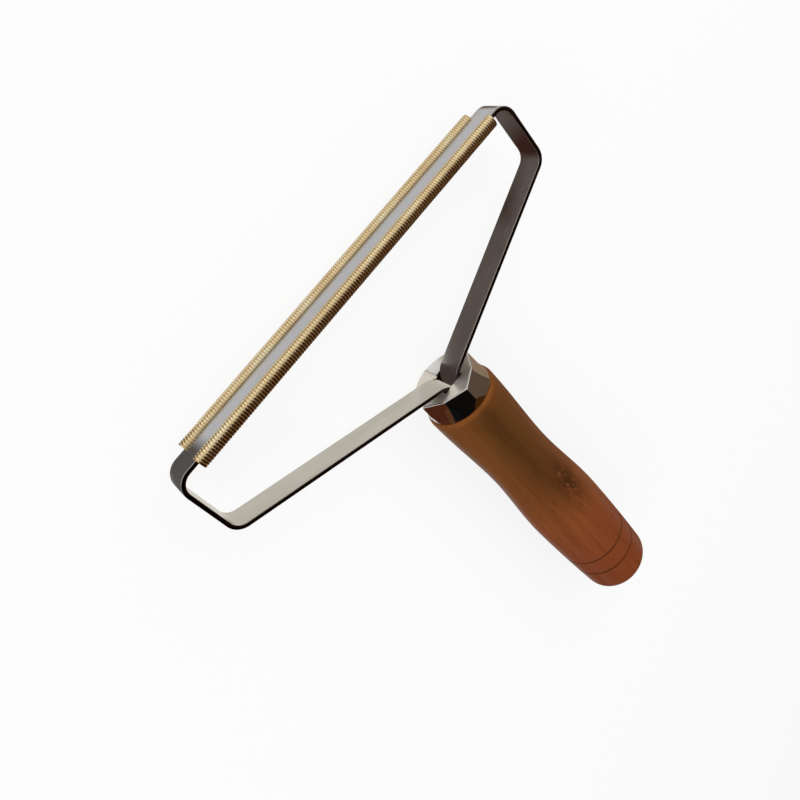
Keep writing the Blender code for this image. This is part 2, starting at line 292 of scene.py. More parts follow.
def cut_slot(piece, size, centre):
    clear_selection()
    bpy.ops.mesh.primitive_cube_add(size=1.0, location=centre, scale=size)
    cutter = take("slot_cutter")
    apply_modifier(piece, "BOOLEAN", object=cutter, operation="DIFFERENCE", solver="EXACT")
    bpy.data.objects.remove(cutter, do_unlink=True)


def store(piece, name, values, kind="FLOAT"):
    """Keep one value for each vertex, which a material reads by its name."""
    layer = piece.data.attributes.new(name, kind, "POINT")
    field = "vector" if kind == "FLOAT_VECTOR" else "value"
    for item, value in zip(layer.data, values):
        setattr(item, field, value)


def finish_piece(piece, material, slot, *nodes, smooth=SMOOTH_ANGLE):
    choose(piece)
    bpy.ops.object.shade_smooth_by_angle(angle=smooth)
    apply_modifier(piece, "WEIGHTED_NORMAL", keep_sharp=True)
    piece.data.materials.clear()
    piece.data.materials.append(material)
    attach(piece, BODY)
    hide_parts(*nodes)


# Material helpers
class Nodes:
    """Short calls that add and join the nodes of one tree."""

    def __init__(self, tree):
        self.nodes = tree.nodes
        self.links = tree.links

    def add(self, kind, settings=None, **inputs):
        node = self.nodes.new(kind)
        for key, value in (settings or {}).items():
            setattr(node, key, value)
        for key, value in inputs.items():
            self.join(value, node.inputs[key.replace("_", " ")])
        return node

    def join(self, value, socket):
        """Lead a socket, or a node's first output, into the socket, or set it to a plain value."""
        if isinstance(value, bpy.types.NodeSocket):
            self.links.new(value, socket)
        elif isinstance(value, bpy.types.Node):
            self.links.new(value.outputs[0], socket)
        else:
            socket.default_value = value

    def math(self, operation, first, second):
        node = self.add("ShaderNodeMath", {"operation": operation})
        self.join(first, node.inputs[0])
        self.join(second, node.inputs[1])
        return node.outputs[0]

    def span(self, value, low, high):
        """A value from 0 to 1, spread from low to high."""
        return self.add("ShaderNodeMapRange", Value=value, To_Min=low, To_Max=high).outputs[0]

    def seen(self):
        """1 for what the camera, reflections and glass see, and 0 for the light that falls on things."""
        path = self.add("ShaderNodeLightPath")
        share = self.math("MAXIMUM", path.outputs["Is Camera Ray"], path.outputs["Is Glossy Ray"])
        return self.math("MAXIMUM", share, path.outputs["Is Transmission Ray"])


class Finish(Nodes):
    """A material with one Principled shader, and the patterns that feed it."""

    def __init__(self, name):
        self.material = bpy.data.materials.new(name)
        self.material.use_nodes = True
        super().__init__(self.material.node_tree)
        self.shader = self.nodes["Principled BSDF"]

    def set(self, **values):
        """Feed the shader's sockets, each with a pattern or a plain value."""
        for key, value in values.items():
            self.join(value, self.shader.inputs[key.replace("_", " ")])

    def place(self):
        return self.add("ShaderNodeTexCoord").outputs["Object"]

    def attribute(self, name, output="Fac"):
        return self.add("ShaderNodeAttribute", {"attribute_name": name}).outputs[output]

    def stretched(self, vector, scale, turn=(0.0, 0.0, 0.0)):
        return self.add("ShaderNodeMapping", Vector=vector, Scale=scale, Rotation=turn).outputs[0]

    def noise(self, vector, scale=1.0, detail=3.0, roughness=0.5, distortion=0.0):
        noise = self.add("ShaderNodeTexNoise", Vector=vector, Scale=scale, Detail=detail)
        self.join(roughness, noise.inputs["Roughness"])
        self.join(distortion, noise.inputs["Distortion"])
        return noise.outputs["Fac"]

    def ramp(self, value, stops):
        """A ramp of colours, or of plain numbers as greys, each at its position."""
        ramp = self.add("ShaderNodeValToRGB", Fac=value)
        elements = ramp.color_ramp.elements
        while len(elements) < len(stops):
            elements.new(0.5)
        for element, (position, colour) in zip(elements, stops):
            element.position = position
            element.color = colour if isinstance(colour, tuple) else (colour, colour, colour, 1.0)
        return ramp.outputs["Color"]

    def mix(self, share, first, second, blend="MIX"):
        node = self.add("ShaderNodeMix", {"data_type": "RGBA", "blend_type": blend})
        self.join(share, node.inputs[0])
        self.join(first, node.inputs[6])
        self.join(second, node.inputs[7])
        return node.outputs[2]

    def bump(self, height, strength, distance):
        self.set(Normal=self.add("ShaderNodeBump", Height=height, Strength=strength, Distance=distance))

    def show_mixed(self, share, first, second):
        """Show two shaders mixed, with the second's share."""
        mixed = self.add("ShaderNodeMixShader", Fac=share)
        self.join(first, mixed.inputs[1])
        self.join(second, mixed.inputs[2])
        self.join(mixed, self.nodes["Material Output"].inputs["Surface"])


# Finishes
def steel_finish():
    """Polished strip steel with lengthwise streaks, faint smudges, and a painted dark reflection on its
    narrow edges.
    """
    finish = Finish("polished_strip_steel")
    along = finish.attribute("along", "Vector")
    streaks = finish.noise(finish.stretched(along, (14.0, 900.0, 900.0)), detail=4.0, roughness=0.55)
    smudges = finish.noise(finish.stretched(along, (55.0, 120.0, 120.0)), detail=3.0, distortion=0.6)
    base = finish.ramp(smudges, [(0.3, STEEL_DULL), (0.7, STEEL_BRIGHT)])
    streaked = finish.mix(0.18, base, finish.ramp(streaks, [(0.35, 0.75), (0.65, 1.0)]), "MULTIPLY")
    streaky = finish.ramp(streaks, [(0.3, 0.19), (0.7, 0.26)])
    smudged = finish.ramp(smudges, [(0.3, 0.17), (0.7, 0.28)])
    finish.set(
        # The narrow edges get a painted dark reflection in their base colour
        Base_Color=finish.mix(finish.attribute("edge"), streaked, STEEL_EDGE_SHADE),
        Metallic=1.0,
        Roughness=finish.mix(0.6, streaky, smudged),
    )
    finish.bump(streaks, 0.04, 0.02 * MM)
    return finish.material


def brass_finish():
    """Brass with bright crests, and brown painted shade in the grooves between its rings."""
    finish = Finish("ringed_brass")
    place = finish.place()
    patches = finish.noise(finish.stretched(place, (120.0, 300.0, 300.0)), detail=4.0)
    grain = finish.noise(finish.stretched(place, (900.0, 2600.0, 2600.0)), detail=2.0)
    patched = finish.ramp(patches, [(0.3, BRASS_DULL), (0.55, BRASS_MIDDLE), (0.75, BRASS_BRIGHT)])
    worn = finish.mix(0.3, patched, finish.ramp(grain, [(0.3, 0.7), (0.7, 1.0)]), "MULTIPLY")
    raised = finish.ramp(finish.attribute("crest"), [(0.0, 0.0), (0.55, 1.0)])
    rubbed = finish.ramp(grain, [(0.3, 0.16), (0.7, 0.28)])
    finish.set(
        # The grooves are painted brown and less metallic, as painted shade
        Base_Color=finish.mix(raised, BRASS_GROOVE_SHADE, worn),
        Metallic=finish.span(raised, 0.35, 1.0),
        Roughness=finish.mix(raised, (0.6, 0.6, 0.6, 1.0), rubbed),
    )
    finish.bump(grain, 0.15, 0.03 * MM)
    return finish.material


def plated_finish():
    """Bright plating with faint wiping marks, rubbed duller on the front plate."""
    finish = Finish("bright_plating")
    place = finish.place()
    marks = finish.noise(finish.stretched(place, (300.0, 90.0, 300.0)), detail=5.0, roughness=0.65)
    haze = finish.noise(place, 160.0, detail=2.0)
    polished = finish.ramp(marks, [(0.3, 0.05), (0.75, 0.13)])
    rubbed = finish.ramp(marks, [(0.3, 0.34), (0.75, 0.44)])
    finish.set(
        Base_Color=finish.ramp(haze, [(0.3, PLATING_DULL), (0.7, PLATING_BRIGHT)]),
        Metallic=1.0,
        Roughness=finish.mix(finish.attribute("plate"), polished, rubbed),
    )
    finish.bump(marks, 0.03, 0.02 * MM)
    return finish.material


def wood_finish():
    """Stained wood under a thin lacquer: grain along the handle, darkened grooves, painted shade along the
    top and on the tenon, a painted highlight on the shoulder's bead and one dented knot.
    """
    finish = Finish("lacquered_wood")
    place = finish.place()
    along_grain = finish.stretched(place, (420.0, 14.0, 420.0))
    fibres = finish.noise(along_grain, detail=6.0, roughness=0.6, distortion=0.3)
    bands = finish.noise(finish.stretched(place, (60.0, 7.0, 60.0)), detail=2.0, distortion=0.8)
    pores = finish.noise(finish.stretched(place, (1500.0, 90.0, 1500.0)), detail=2.0)
    banded = finish.ramp(bands, [(0.3, WOOD_DARK), (0.5, WOOD_MIDDLE), (0.72, WOOD_PALE)])
    grained = finish.mix(0.3, banded, finish.ramp(fibres, [(0.32, 0.5), (0.62, 1.0)]), "MULTIPLY")
    pored = finish.mix(0.25, grained, finish.ramp(pores, [(0.33, 0.45), (0.45, 1.0)]), "MULTIPLY")
    reddened = finish.mix(finish.attribute("redness"), pored, BUTT_TINT, "MULTIPLY")
    # Stain, with painted shade along the top and a painted highlight on the bead
    stained_and_shaded = finish.mix(finish.attribute("stain_and_shade"), reddened, STAIN_AND_SHADE_TINT, "MULTIPLY")

    knot = finish.attribute("knot")
    round_knot = finish.stretched(place, (240.0, 110.0, 240.0), turn=KNOT_TURN)
    swirl = finish.noise(round_knot, detail=3.0, distortion=1.5)
    smudge = finish.math("MULTIPLY", knot, finish.ramp(swirl, [(0.34, 0.0), (0.52, 1.0)]))
    nicks = finish.noise(finish.stretched(place, (1500.0, 260.0, 1500.0), turn=KNOT_TURN), detail=1.0)
    middle = finish.math("MULTIPLY", knot, knot)
    scratches = finish.math("MULTIPLY", middle, finish.ramp(nicks, [(0.68, 0.0), (0.74, 1.0)]))
    scratched = finish.mix(scratches, finish.mix(smudge, stained_and_shaded, WOOD_KNOT), WOOD_NICK)

    finish.set(
        # Darker in the grooves, and painted shade on the tenon
        Base_Color=finish.mix(finish.attribute("dark_grooves_and_tenon_shade"), scratched, WOOD_DARK_GROOVES_AND_SHADE),
        Roughness=finish.ramp(fibres, [(0.3, 0.36), (0.7, 0.5)]),
        Specular_IOR_Level=0.06,
        Coat_Weight=0.05,
        Coat_Roughness=0.2,
    )
    finish.bump(finish.math("SUBTRACT", fibres, smudge), 0.12, 0.08 * MM)
    return finish.material


# Steel strip
def rounded_run(corners, radii):
    """Each straight run of a line with rounded corners, with the centre and the turn of the bend after
    it. The last run has no bend."""
    runs = []
    place = Vector(corners[0])
    for before, corner, after, radius in zip(corners, corners[1:], corners[2:], radii):
        corner = Vector(corner)
        heading = (corner - Vector(before)).normalized()
        onward = (Vector(after) - corner).normalized()
        turn = heading.angle_signed(onward)
        start = corner - heading * radius * math.tan(abs(turn) / 2)
        inward = Vector((heading.y, -heading.x)) * math.copysign(1.0, turn)
        runs.append((start - place, start + inward * radius, turn))
        place = corner + onward * radius * math.tan(abs(turn) / 2)
    runs.append((Vector(corners[-1]) - place, None, 0.0))
    return runs


def make_strip():
    """The strip: half of it is drawn from the middle of the head to one tang with extrusions and spins,
    mirrored and given its thickness."""
    corners = [
        (STRIP_WIDTH, HEAD_FACE),
        (HEAD_LENGTH / 2, HEAD_FACE),
        (KNEE_SPAN / 2, HEAD_FACE - KNEE_STATION),
        (TANG_X, HEAD_FACE - SLOT_STATION),
        (TANG_X, HEAD_FACE - TANG_END_STATION),
    ]
    clear_selection()
    bpy.ops.mesh.primitive_plane_add(
        size=STRIP_WIDTH,
        location=(STRIP_WIDTH / 2, HEAD_FACE, MIDDLE_HEIGHT),
        rotation=(math.pi / 2, 0.0, 0.0),
    )
    strip = take("bent_steel_strip")
    pick_edges(strip, lambda edge: all(vertex.co.x > STRIP_WIDTH / 2 for vertex in edge.verts))
    for run, centre, turn in rounded_run(corners, (BEND_RADIUS, BEND_RADIUS, TANG_BEND_RADIUS)):
        push((run.x, run.y, 0.0))
        if centre is not None:
            bpy.ops.mesh.spin(
                steps=max(LEAST_BEND_STEPS, round(abs(turn) / BEND_STEP)),
                angle=turn,
                center=(centre.x, centre.y, MIDDLE_HEIGHT),
                axis=(0.0, 0.0, 1.0),
            )
    close_seams()
    apply_modifier(strip, "MIRROR", merge_threshold=MERGE_DISTANCE)
    bpy.ops.object.mode_set(mode="EDIT")
    close_seams()
    thicken(strip, STRIP_THICKNESS)
    round_edges(strip, EDGE_ROUND, EDGE_ROUND_ANGLE)
    points = [vertex.co for vertex in strip.data.vertices]
    along = [strip_place(point, corners) for point in points]
    # The narrow flat edges, where the steel gets a painted dark reflection
    edge_height = STRIP_WIDTH / 2 - EDGE_BAND
    edge_shade = [float(abs(point.z - MIDDLE_HEIGHT) > edge_height) for point in points]
    store(strip, "along", along, kind="FLOAT_VECTOR")
    store(strip, "edge", edge_shade)
    return strip


def strip_place(point, corners):
    """Where a point lies on the strip: length along it from the middle of the head, height, and depth."""
    flat = Vector((abs(point.x), point.y))
    best = None
    travelled = 0.0
    line = [(0.0, HEAD_FACE), *corners[1:]]
    for start, end in zip(line, line[1:]):
        start, end = Vector(start), Vector(end)
        run = end - start
        share = held((flat - start).dot(run) / run.length_squared)
        away = (flat - start - run * share).length
        if best is None or away < best[0]:
            best = (away, travelled + share * run.length)
        travelled += run.length
    side = 1.0 if point.x >= 0.0 else -1.0
    return (side * best[1], point.z, best[0])


# Brass tubes
def spin_ring(name):
    """One turn of a tube's coil at the tube's low end, open along the slit."""
    slit = math.asin((STRIP_THICKNESS / 2 + SLIT_SPACE) / TUBE_RADIUS)
    start = Vector((0.0, math.sin(slit), -math.cos(slit)))
    low_end = -TUBE_LENGTH / 2 - SPARE_RINGS * RING_PITCH
    points = []
    for along, rise in RING_SECTION:
        radius = TUBE_RADIUS - RING_DEPTH * (1.0 - rise)
        points.append(Vector((low_end + along * RING_PITCH, TUBE_AXIS_Y, TUBE_AXIS_Z)) + start * radius)
    ring = draw_line(name, points)
    bpy.ops.mesh.spin(
        steps=RING_STEPS,
        angle=2 * math.pi - 2 * slit,
        center=(low_end, TUBE_AXIS_Y, TUBE_AXIS_Z),
        axis=(-1.0, 0.0, 0.0),
    )
    close_seams()
    bm = bmesh.from_edit_mesh(ring.data)
    for vertex in bm.verts:
        turned = math.atan2(vertex.co.y - TUBE_AXIS_Y, vertex.co.z - TUBE_AXIS_Z)
        vertex.co.x += RING_PITCH * turned / (2 * math.pi)
    bmesh.update_edit_mesh(ring.data)
    return ring


def make_tube(name):
    """A ringed tube: one turn of its coil is repeated along X, given its wall and trimmed square."""
    tube = spin_ring(name)
    apply_modifier(
        tube,
        "ARRAY",
        count=RINGS_PER_TUBE + 2 * SPARE_RINGS,
        use_relative_offset=False,
        use_constant_offset=True,
        constant_offset_displace=(RING_PITCH, 0.0, 0.0),
        use_merge_vertices=True,
        merge_threshold=MERGE_DISTANCE,
    )
    bpy.ops.object.mode_set(mode="EDIT")
    close_seams()
    faces = bmesh.from_edit_mesh(tube.data).faces
    if sum(face.normal.dot(radial(face.calc_center_median())) for face in faces) < 0.0:
        bpy.ops.mesh.flip_normals()
    thicken(tube, TUBE_WALL)
    bpy.ops.object.mode_set(mode="EDIT")
    for end, keep_low in ((TUBE_LENGTH / 2, True), (-TUBE_LENGTH / 2, False)):
        bpy.ops.mesh.select_all(action="SELECT")
        bpy.ops.mesh.bisect(
            plane_co=(end, 0.0, 0.0),
            plane_no=(1.0, 0.0, 0.0),
            use_fill=True,
            clear_outer=keep_low,
            clear_inner=not keep_low,
            threshold=TRIM_THRESHOLD,
        )
    clear_selection()
    store(tube, "crest", [crest_share(vertex.co) for vertex in tube.data.vertices])
    return tube


def radial(point):
    """The direction from the tube's axis out to a point."""
    return Vector((0.0, point.y - TUBE_AXIS_Y, point.z - TUBE_AXIS_Z)).normalized()


def crest_share(point):
    """How far out a point of a ring is: 0 in the groove and inside the tube, 1 on the crest."""
    away = math.hypot(point.y - TUBE_AXIS_Y, point.z - TUBE_AXIS_Z)
    return held((away - TUBE_RADIUS + RING_DEPTH) / RING_DEPTH)


def second_tube(tube, name):
    """A copy of the tube, turned half round about X for the other edge of the head."""
    other = tube.copy()
    other.data = tube.data.copy()
    other.name = name
    other.data.name = name
    bpy.context.scene.collection.objects.link(other)
    centre = Vector((0.0, TUBE_AXIS_Y, MIDDLE_HEIGHT))
    half_turn = Matrix.Translation(centre) @ Matrix.Rotation(math.pi, 4, "X") @ Matrix.Translation(-centre)
    other.data.transform(half_turn)
    return other


# Ferrule
def ferrule_radius(angle, share):
    """Radius of the cap. At share 0 of its flare it has corners and creases, worn round on the low
    side. At share 1 it is round."""
    side_angle = 2 * math.pi / FERRULE_SIDES
    from_corner = angle % (2 * side_angle)
    from_corner = min(from_corner, 2 * side_angle - from_corner)
    to_crease = side_angle - from_corner
    spread = FERRULE_CORNER_RADIUS * math.sin(from_corner) + FERRULE_CREASE_RADIUS * math.sin(to_crease)
    flat = FERRULE_CORNER_RADIUS * FERRULE_CREASE_RADIUS * math.sin(side_angle) / spread
    low = held((-math.sin(angle) - FERRULE_ROUND_FROM) / (FERRULE_ROUND_TO - FERRULE_ROUND_FROM))
    front = flat + (FERRULE_CORNER_RADIUS - flat) * low
    return front + (FERRULE_REAR_RADIUS - front) * share**2


def is_rim(edge):
    """Whether an edge parts the flat front plate from a flank."""
    turns = [abs(face.normal.y) for face in edge.link_faces]
    return len(turns) == 2 and max(turns) > PLATE_TURN and min(turns) < FLANK_TURN


def make_ferrule():
    """A pressed cap: a round cup drawn up ring by ring, its flats pressed in and its front slotted."""
    front, rear = ferrule_high.y, ferrule_low.y
    flare = front - rear - FERRULE_SKIRT
    clear_selection()
    bpy.ops.mesh.primitive_circle_add(
        vertices=FERRULE_SIDES * POINTS_PER_SIDE,
        radius=FERRULE_REAR_RADIUS,
        location=(0.0, rear, MIDDLE_HEIGHT),
        rotation=(math.pi / 2, 0.0, 0.0),
    )
    ferrule = take("faceted_ferrule")
    bpy.ops.mesh.select_all(action="SELECT")
    push((0.0, FERRULE_SKIRT, 0.0))
    for _ in range(FERRULE_RINGS):
        push((0.0, flare / FERRULE_RINGS, 0.0))
    push((0.0, 0.0, 0.0))
    inward = (FERRULE_PLATE_SHARE, 1.0, FERRULE_PLATE_SHARE)
    bpy.ops.transform.resize(value=inward, center_override=(0.0, front, MIDDLE_HEIGHT))
    bpy.ops.mesh.edge_face_add()
    bm = bmesh.from_edit_mesh(ferrule.data)
    for vertex in bm.verts:
        share = min(1.0, (front - vertex.co.y) / flare)
        angle = math.atan2(vertex.co.z - MIDDLE_HEIGHT, vertex.co.x)
        pressed = ferrule_radius(angle, share) / FERRULE_REAR_RADIUS
        vertex.co.x *= pressed
        vertex.co.z = MIDDLE_HEIGHT + (vertex.co.z - MIDDLE_HEIGHT) * pressed
    bmesh.update_edit_mesh(ferrule.data)
    close_seams()
    pick_edges(ferrule, is_rim)
    bpy.ops.mesh.bevel(offset=FERRULE_RIM_ROUND, segments=FERRULE_RIM_SEGMENTS)
    thicken(ferrule, FERRULE_WALL)
    slot = (2 * SLOT_HALF_WIDTH, 4 * FERRULE_WALL, STRIP_WIDTH + 2 * FIT)
    cut_slot(ferrule, slot, (0.0, front, MIDDLE_HEIGHT))
    round_edges(ferrule, FERRULE_EDGE, FERRULE_EDGE_ANGLE)
    plate_y = front - FERRULE_PLATE_DEPTH
    store(ferrule, "plate", [float(vertex.co.y > plate_y) for vertex in ferrule.data.vertices])
    return ferrule


# Handle
def eased(start, end, share):
    """A value that leaves start and reaches end without a kink at either."""
    return start + (end - start) * (1.0 - math.cos(math.pi * share)) / 2


def handle_radius(y):
    """Radius of the turned body behind its shoulder."""
    if y >= NECK_Y:
        return SHOULDER_RADIUS
    if y >= WAIST_Y:
        return eased(SHOULDER_RADIUS, WAIST_RADIUS, (NECK_Y - y) / NECK_LENGTH)
    if y >= SWELL_Y:
        return eased(WAIST_RADIUS, SWELL_RADIUS, (WAIST_Y - y) / BELLY_LENGTH)
    return SWELL_RADIUS + (TAIL_RADIUS - SWELL_RADIUS) * ((SWELL_Y - y) / TAIL_LENGTH) ** 2


def handle_line():
    """Points (radius, y) from the butt's middle, forward over the body, to the tenon's end."""
    line = [(0.0, BUTT_Y), (BUTT_RING_SHARE * TAIL_RADIUS, BUTT_Y)]
    round_y = BUTT_Y + BUTT_ROUND
    for step in range(BUTT_STEPS + 1):
        angle = math.pi / 2 * (1.0 - step / BUTT_STEPS)
        radius = handle_radius(round_y) - BUTT_ROUND * (1.0 - math.cos(angle))
        line.append((radius, round_y - BUTT_ROUND * math.sin(angle)))
    for step in range(1, BODY_STEPS + 1):
        y = round_y + (NECK_Y - round_y) * step / BODY_STEPS
        if all(abs(y - groove) > GROOVE_CLEARANCE for groove in GROOVES_Y):
            line.append((handle_radius(y), y))
    for groove in GROOVES_Y:
        for step in range(-GROOVE_STEPS_EACH_WAY, GROOVE_STEPS_EACH_WAY + 1):
            y = groove + step * GROOVE_WIDTH / GROOVE_STEPS_PER_WIDTH
            depth = GROOVE_DEPTH * math.exp(-((step / GROOVE_SPREAD_IN_STEPS) ** 2))
            line.append((handle_radius(y) - depth, y))
    for step in range(SHOULDER_STEPS + 1):
        angle = math.pi / 2 * step / SHOULDER_STEPS
        radius = SHOULDER_RADIUS - SHOULDER_RISE * (1.0 - math.cos(angle))
        line.append((radius, SHOULDER_Y - SHOULDER_ROUND * (1.0 - math.sin(angle))))
    line.sort(key=lambda point: point[1])
    tenon_radius = FERRULE_CREASE_RADIUS - FERRULE_WALL - 2 * FIT
    line += [(tenon_radius, SHOULDER_Y), (tenon_radius, handle_high.y), (0.0, handle_high.y)]
    return line


def make_handle():
    """The handle, turned from one drawn line, with a slot for the strip's ends."""
    handle = draw_line("turned_handle", [(radius, y, MIDDLE_HEIGHT) for radius, y in handle_line()])
    bpy.ops.mesh.spin(
        steps=HANDLE_STEPS, angle=2 * math.pi, center=(0.0, 0.0, MIDDLE_HEIGHT), axis=(0.0, 1.0, 0.0)
    )
    close_seams()
    depth = handle_high.y - strip_low.y + FIT
    slot = (2 * (TANG_X + FIT), 2 * depth, STRIP_WIDTH + 2 * FIT)
    cut_slot(handle, slot, (0.0, handle_high.y, MIDDLE_HEIGHT))
    shares = {"dark_grooves_and_tenon_shade": dark_grooves_and_tenon_shade_share, "stain_and_shade": stain_and_shade_share, "redness": red_share, "knot": knot_share}
    for name, share in shares.items():
        store(handle, name, [share(vertex.co) for vertex in handle.data.vertices])
    return handle


def dark_grooves_and_tenon_shade_share(point):
    """How dark the wood is made: 1 in the turned grooves, 1 on the tenon as painted shade where it shows
    through the slot, and 0 elsewhere.
    """
    # The tenon, which shows through the slot, gets painted shade
    if point.y > SHOULDER_Y + FIT:
        return 1.0
    nearest = min(abs(point.y - groove) for groove in GROOVES_Y)
    return math.exp(-((nearest / GROOVE_DARK_SPREAD) ** 2))


def stain_and_shade_share(point):
    """How dark the wood is made: an even stain on the sides, deepened by painted shade along the neck's
    upper side, cleared on the shoulder's bead as a painted highlight, and worn off on the swell.
    """
    worn = held((WORN_FROM_Y - point.y) / (WORN_FROM_Y - WORN_TO_Y))
    worn *= worn * (3.0 - 2.0 * worn)
    # Painted shade: darker along the upper side
    from_top = math.atan2(point.x, point.z - MIDDLE_HEIGHT)
    shade_on_top = math.exp(-((from_top / TOP_SHADE_SPREAD) ** 2))
    # Painted highlight: the stain cleared on the shoulder's bead
    highlight_on_bead = math.exp(-(((SHOULDER_Y - point.y) / BEAD_HIGHLIGHT_LENGTH) ** 2))
    return (1.0 - worn) * (1.0 - highlight_on_bead) * (STAIN_ON_SIDES + (1.0 - STAIN_ON_SIDES) * shade_on_top)


def red_share(point):
    """How red the wood is: 0 at the neck, and 1 towards the butt."""
    return held((RED_FROM_Y - point.y) / (RED_FROM_Y - RED_TO_Y))


def knot_share(point):
    """How near a point is to the dented knot on the handle's upper side."""
    across, along = (point.x - KNOT_X) / KNOT_HALF_WIDTH, (point.y - KNOT_Y) / KNOT_HALF_LENGTH
    return math.exp(-(across**2) - along**2) if point.z > MIDDLE_HEIGHT else 0.0


steel = steel_finish()
brass = brass_finish()
plating = plated_finish()
wood = wood_finish()

strip = make_strip()
finish_piece(strip, steel, "strip_steel", "steel_strip")
upper_tube = make_tube("upper_ringed_tube")
lower_tube = second_tube(upper_tube, "lower_ringed_tube")
finish_piece(upper_tube, brass, "tube_brass", "upper_brass_tube", smooth=RING_SMOOTH_ANGLE)
finish_piece(lower_tube, brass, "tube_brass", "lower_brass_tube", smooth=RING_SMOOTH_ANGLE)
ferrule = make_ferrule()
finish_piece(ferrule, plating, "ferrule_plating", "ferrule")
handle = make_handle()
finish_piece(handle, wood, "handle_wood", "handle")


# Ground and world
FLOOR_SIZE = 4.0
GROUND_COLOUR = (0.92, 0.92, 0.92, 1.0)
GROUND_GLOW = 0.85
WORLD_COLOUR = (0.8, 0.8, 0.8, 1.0)
WORLD_LIGHT = 0.6

# Lamps, which no reflection sees: place, length of a side and power
LAMPS = {
    "key": ((0.45, 0.55, 0.6), 0.9, 4.4),
    "fill": ((-0.6, 0.1, 0.5), 0.7, 2.0),
}
LAMP_AIM = (0.0, 0.03, 0.0)

# Camera, fitted to the photograph, with its lens and sensor in millimetres
CAMERA_PLACE = (-0.0515, 0.2056, 0.2248)
CAMERA_AIM = (0.0180, 0.0340, 0.0156)
CAMERA_ROLL = math.radians(110.75)
CAMERA_LENS = 35.163
CAMERA_SENSOR = 36.0
CAMERA_SHIFT = (-0.111, -0.0568)
CAMERA_CLIP_START = 0.01

# Cards arched from low behind the handle to past overhead: span in X and colour
ARCHES = {
    "black_arched_card": ((-0.90, -0.13), (0.005, 0.004, 0.004)),
    "brown_arched_card": ((-0.13, 0.50), (0.060, 0.021, 0.004)),
}
ARCH_RADIUS = 0.7
ARCH_DROP = 0.01
ARCH_TURN = math.radians(155)
ARCH_FADE = math.radians(35)
ARCH_STEPS = 40

# Cards lying on the floor, each a little above the one before: outline, width of the soft edge, colour
FLOOR_CARD_RISE = 0.3 * MM
FLOOR_CARDS = {
    "under_left_leg": (
        ((-0.085, 0.062), (0.001, 0.034), (0.001, 0.076), (-0.085, 0.098)),
        0.004,
        (0.90, 0.86, 0.77),
    ),
    "under_tubes": (
        ((-0.062, 0.086), (0.092, 0.086), (0.092, 0.105), (-0.062, 0.105)),
        0.002,
        (0.60, 0.55, 0.47),
    ),
    "under_head": (
        ((-0.074, 0.1025), (0.092, 0.1025), (0.092, 0.1115), (-0.074, 0.1115)),
        0.0015,
        (0.87, 0.88, 0.95),
    ),
    "beyond_head": (
        ((-0.110, 0.108), (0.150, 0.108), (0.150, 0.145), (-0.110, 0.145)),
        0.004,
        (0.38, 0.35, 0.30),
    ),
    "under_right_leg": (
        ((0.0, 0.052), (0.040, 0.052), (0.088, 0.068), (0.088, 0.102), (0.040, 0.089), (0.0, 0.077)),
        0.0008,
        (0.165, 0.134, 0.122),
    ),
    "under_right_side": (
        ((0.050, 0.046), (0.086, 0.046), (0.086, 0.082), (0.050, 0.082)),
        0.011,
        (0.065, 0.024, 0.018),
    ),
    "under_left_bend": (
        (
            (-0.120, 0.066),
            (-0.077, 0.066),
            (-0.077, 0.092),
            (-0.062, 0.097),
            (-0.062, 0.124),
            (-0.120, 0.124),
        ),
        0.005,
        (0.14, 0.13, 0.13),
    ),
    "tan_beside_ferrule": (
        ((0.015, -0.200), (0.900, -0.300), (0.900, 0.060), (0.015, 0.036)),
        0.006,
        (0.31, 0.22, 0.15),
    ),
    "tan_before_ferrule": (
        ((0.006, 0.034), (0.032, 0.036), (0.032, 0.050), (0.006, 0.050)),
        0.003,
        (0.42, 0.35, 0.26),
    ),
    "dark_red_floor": (
        ((-0.900, -0.450), (-0.019, -0.200), (-0.019, 0.044), (-0.900, 0.200)),
        0.012,
        (0.088, 0.022, 0.010),
    ),
}

# Cards standing beside the scraper: X, span in Y, span in Z, width of the soft edge, colour
WALL_X = 0.9
WALL_CARDS = {
    "grey_brown_right_wall": (WALL_X, (-1.15, 0.22), (-0.06, 1.3), 0.05, (0.115, 0.080, 0.055)),
    "red_low_left_wall": (-WALL_X, (-1.15, 0.48), (-0.06, 0.30), 0.05, (0.12, 0.045, 0.020)),
    "black_left_wall": (-WALL_X + 0.01, (-1.15, 0.52), (0.17, 1.0), 0.08, (0.006, 0.007, 0.009)),
    "dark_face_in_loop": (0.1 * MM, (0.036, 0.066), (-0.5 * MM, 21 * MM), 0.0003, (0.085, 0.062, 0.055)),
    "pale_face_in_loop": (-0.1 * MM, (0.036, 0.066), (-0.5 * MM, 21 * MM), 0.0003, (0.80, 0.76, 0.68)),
}

# The card that stands behind the upper tube, along its whole length and a little past its end
TUBE_CARD_Y = 0.0916
TUBE_CARD_HEIGHTS = (0.0187, 0.0237)
TUBE_CARD_OVERHANG = 15 * MM
TUBE_CARD_FADE = 0.0003
TUBE_CARD_COLOUR = (0.07, 0.035, 0.018)


def ground_finish():
    """White to the camera and in reflections, with a softened shadow of the scraper."""
    finish = Finish("pale_ground")
    finish.set(Base_Color=GROUND_COLOUR, Roughness=1.0, Specular_IOR_Level=0.0)
    glow = finish.add("ShaderNodeEmission", Color=(1.0, 1.0, 1.0, 1.0), Strength=1.0)
    finish.show_mixed(finish.math("MULTIPLY", finish.seen(), GROUND_GLOW), finish.shader, glow)
    return finish.material


def add_ground():
    clear_selection()
    bpy.ops.mesh.primitive_plane_add(size=FLOOR_SIZE)
    ground = bpy.context.object
    ground.name = "ground"
    ground.data.materials.append(ground_finish())


